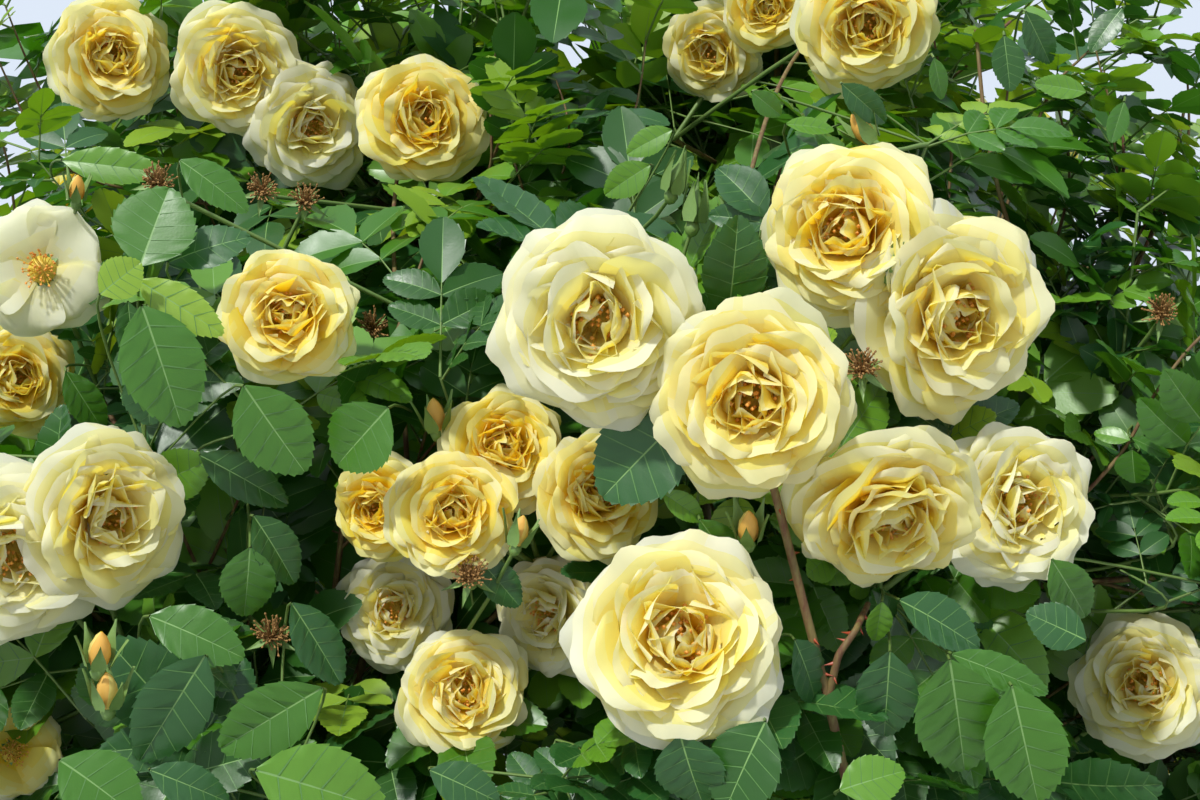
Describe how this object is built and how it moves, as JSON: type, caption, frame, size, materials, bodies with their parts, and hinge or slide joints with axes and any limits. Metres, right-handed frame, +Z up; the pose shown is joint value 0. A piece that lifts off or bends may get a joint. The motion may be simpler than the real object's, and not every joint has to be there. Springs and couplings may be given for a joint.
{
  "type": "rose bush",
  "caption": "Rounded garden shrub rose in full flower: leafy branching canes on a short crown, large ruffled double yellow blooms in clusters, rooted at ground level.",
  "frame": {"origin": "middle of the flat cut under the root crown, at ground level", "axes": "+Z up; the flowering front of the picture faces -Y"},
  "size_m": [1.431, 1.4764, 1.5456],
  "materials": {
    "old_bark": "grey-brown fissured bark",
    "cane_bark": "smooth reddish-brown, prickly",
    "foliage": "glossy dark green leaves with yellow flowers"
  },
  "bodies": {
    "root": {"branch_low_1": "cane_bark", "branch_low_2": "cane_bark", "branch_low_3": "cane_bark", "branch_low_4": "cane_bark", "branch_low_5": "cane_bark", "branch_low_6": "cane_bark", "branch_middle_1": "cane_bark", "branch_middle_2": "cane_bark", "branch_middle_3": "cane_bark", "branch_middle_4": "cane_bark", "branch_middle_5": "cane_bark", "branch_middle_6": "cane_bark", "branch_middle_7": "cane_bark", "branch_middle_8": "cane_bark", "branch_top_1": "cane_bark", "branch_top_2": "cane_bark", "branch_top_3": "cane_bark", "branch_top_4": "cane_bark", "branch_top_5": "cane_bark", "cane_1": "cane_bark", "cane_2": "cane_bark", "cane_3": "cane_bark", "cane_4": "cane_bark", "cane_5": "cane_bark", "cane_6": "cane_bark", "cane_7": "cane_bark", "cane_8": "cane_bark", "root_crown": "old_bark", "shoots_low_1": "foliage", "shoots_low_2": "foliage", "shoots_low_3": "foliage", "shoots_low_4": "foliage", "shoots_low_5": "foliage", "shoots_low_6": "foliage", "shoots_middle_1": "foliage", "shoots_middle_2": "foliage", "shoots_middle_3": "foliage", "shoots_middle_4": "foliage", "shoots_middle_5": "foliage", "shoots_middle_6": "foliage", "shoots_middle_7": "foliage", "shoots_middle_8": "foliage", "shoots_top_1": "foliage", "shoots_top_2": "foliage", "shoots_top_3": "foliage", "shoots_top_4": "foliage", "shoots_top_5": "foliage", "shoots_upper_1": "foliage", "shoots_upper_2": "foliage", "shoots_upper_3": "foliage", "shoots_upper_4": "foliage", "shoots_upper_5": "foliage", "shoots_upper_6": "foliage", "shoots_upper_7": "foliage", "shoots_upper_8": "foliage"}
  },
  "joints": []
}
